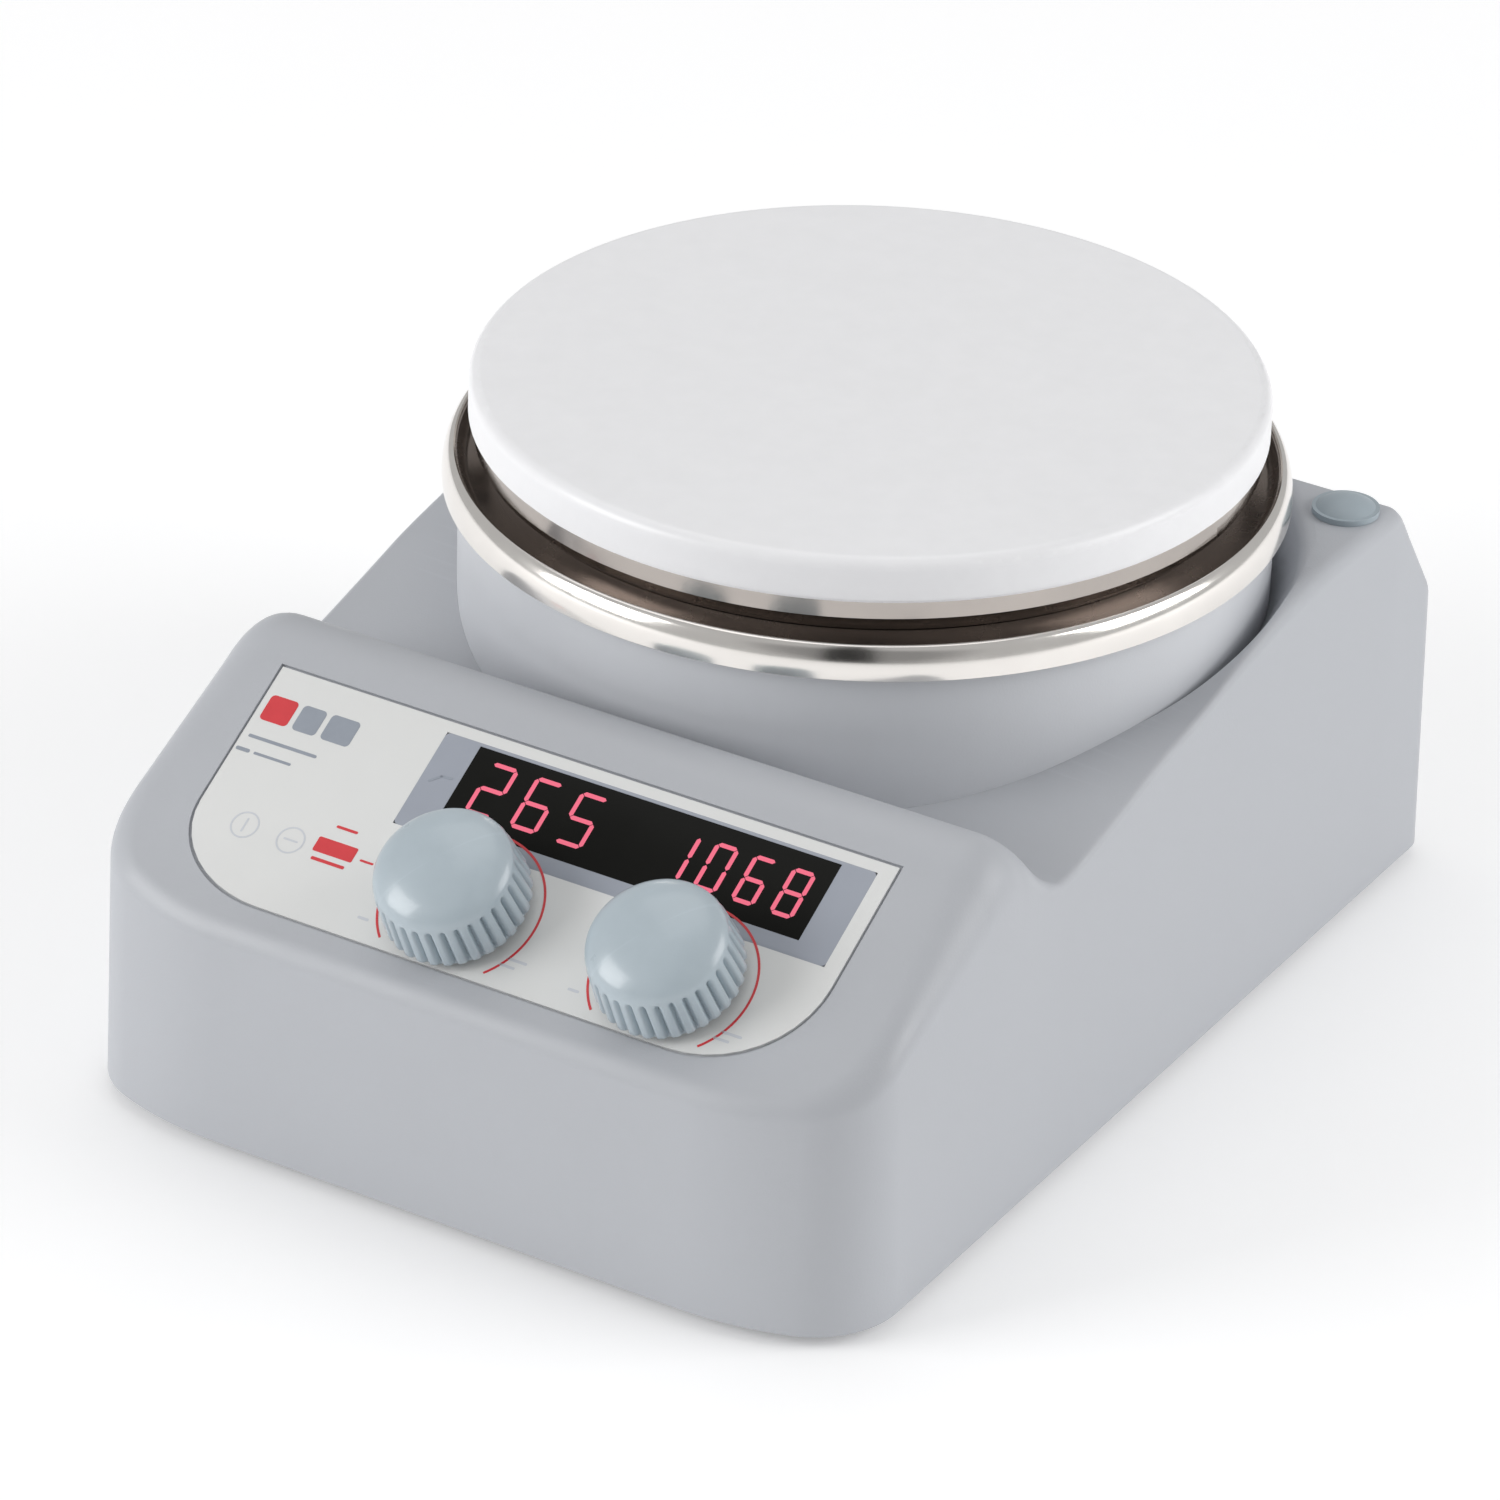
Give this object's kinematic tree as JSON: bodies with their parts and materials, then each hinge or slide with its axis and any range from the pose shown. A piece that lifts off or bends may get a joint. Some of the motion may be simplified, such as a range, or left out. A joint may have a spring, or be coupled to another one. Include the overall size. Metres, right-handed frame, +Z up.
{
  "type": "magnetic stirrer",
  "caption": "Hotplate magnetic stirrer: round white ceramic plate on a grey housing with a sloping panel, lit display, push-and-turn knobs and a spinning magnet drive.",
  "frame": {"origin": "centre of the footprint, on the bench under the feet", "axes": "+X to the right seen from the front, +Y to the back, +Z up along the plate and drive axis"},
  "size_m": [0.15, 0.204, 0.102],
  "materials": {
    "housing": "light grey powder coat, fine texture",
    "collar": "light grey powder coat, fine texture",
    "underside": "dark grey coated sheet",
    "rubber": "black rubber",
    "screws": "zinc plated steel",
    "polished": "polished stainless steel",
    "mica": "mica heater disc",
    "fibre": "ceramic fibre board",
    "ceramic": "white ceramic coating",
    "sheet": "bare sheet metal",
    "motor": "grey motor housing",
    "steel": "ground steel",
    "carrier": "grey anodised aluminium",
    "magnets": "sintered magnet",
    "label": "off-white polyester overlay with printed marks",
    "surround": "grey print on the overlay",
    "window": "smoked black window",
    "digits": "lit red segments",
    "board": "green circuit board",
    "parts": "board components",
    "transformer": "laminated transformer",
    "encoder": "encoder housing",
    "plunger": "acetal sleeve",
    "brass": "turned brass",
    "knob": "blue-grey moulded plastic, satin",
    "black": "black moulded plastic",
    "plug_rubber": "blue-grey rubber",
    "pins": "nickel plated contacts",
    "fuse_glass": "glass fuse tube"
  },
  "bodies": {
    "base": {"upper_housing": "housing", "base_plate": "underside", "rubber_feet": "rubber", "base_screws": "screws", "collar": "collar", "collar_screws": "screws", "drip_tray": "polished", "heater_pan": "polished", "heating_element": "mica", "insulation_disc": "fibre", "plate_sensor": "steel", "top_plate": "ceramic", "shield_plate": "sheet", "plate_posts": "steel", "post_nuts": "screws", "motor_body": "motor", "motor_bracket": "sheet", "bracket_posts": "steel", "bracket_screws": "screws", "control_label": "label", "display_surround": "surround", "display_window": "window", "led_digits": "digits", "display_board": "board", "board_screws": "screws", "main_board": "board", "board_parts": "parts", "transformer": "transformer", "left_encoder": "encoder", "right_encoder": "encoder", "encoder_nuts": "steel", "switch_body": "black", "inlet_shell": "black", "inlet_pins": "pins", "probe_socket": "steel", "probe_pins": "brass", "rod_boss": "sheet"},
    "rotor": {"motor_shaft": "steel", "magnet_carrier": "carrier", "drive_magnets": "magnets", "carrier_screw": "screws"},
    "left_push": {"left_plunger": "plunger"},
    "left_turn": {"left_spindle": "brass", "left_knob": "knob"},
    "right_push": {"right_plunger": "plunger"},
    "right_turn": {"right_spindle": "brass", "right_knob": "knob"},
    "rocker": {"power_rocker": "black"},
    "drawer": {"fuse_drawer": "black", "fuse": "fuse_glass"},
    "plug": {"hole_plug": "plug_rubber"}
  },
  "joints": [
    {"name": "magnet_spin", "type": "hinge", "parent": "base", "child": "rotor", "pos_m": [0, 0.0281, 0.055], "axis": [0, 0, 1], "continuous": true},
    {"name": "left_knob_push", "type": "slide", "parent": "base", "child": "left_push", "axis": [0, 0.506, -0.8625], "range_m": [0, 0.001], "stiffness_N_per_m": 500, "springref_m": -0.003},
    {"name": "left_knob_turn", "type": "hinge", "parent": "left_push", "child": "left_turn", "pos_m": [-0.0072, -0.08535, 0.05127], "axis": [0, -0.506, 0.8625], "range_deg": [-135, 135]},
    {"name": "right_knob_push", "type": "slide", "parent": "base", "child": "right_push", "axis": [0, 0.506, -0.8625], "range_m": [0, 0.001], "stiffness_N_per_m": 500, "springref_m": -0.003},
    {"name": "right_knob_turn", "type": "hinge", "parent": "right_push", "child": "right_turn", "pos_m": [0.0329, -0.08535, 0.05127], "axis": [0, -0.506, 0.8625], "range_deg": [-135, 135]},
    {"name": "power_rocker_tilt", "type": "hinge", "parent": "base", "child": "rocker", "pos_m": [-0.066, -0.012, 0.027], "axis": [0, 0, 1], "range_deg": [-16, 0]},
    {"name": "fuse_drawer_slide", "type": "slide", "parent": "base", "child": "drawer", "axis": [0, 1, 0], "range_m": [0, 0.016]},
    {"name": "plug_lift", "type": "slide", "parent": "base", "child": "plug", "axis": [0, 0, 1], "range_m": [0, 0.012]}
  ]
}
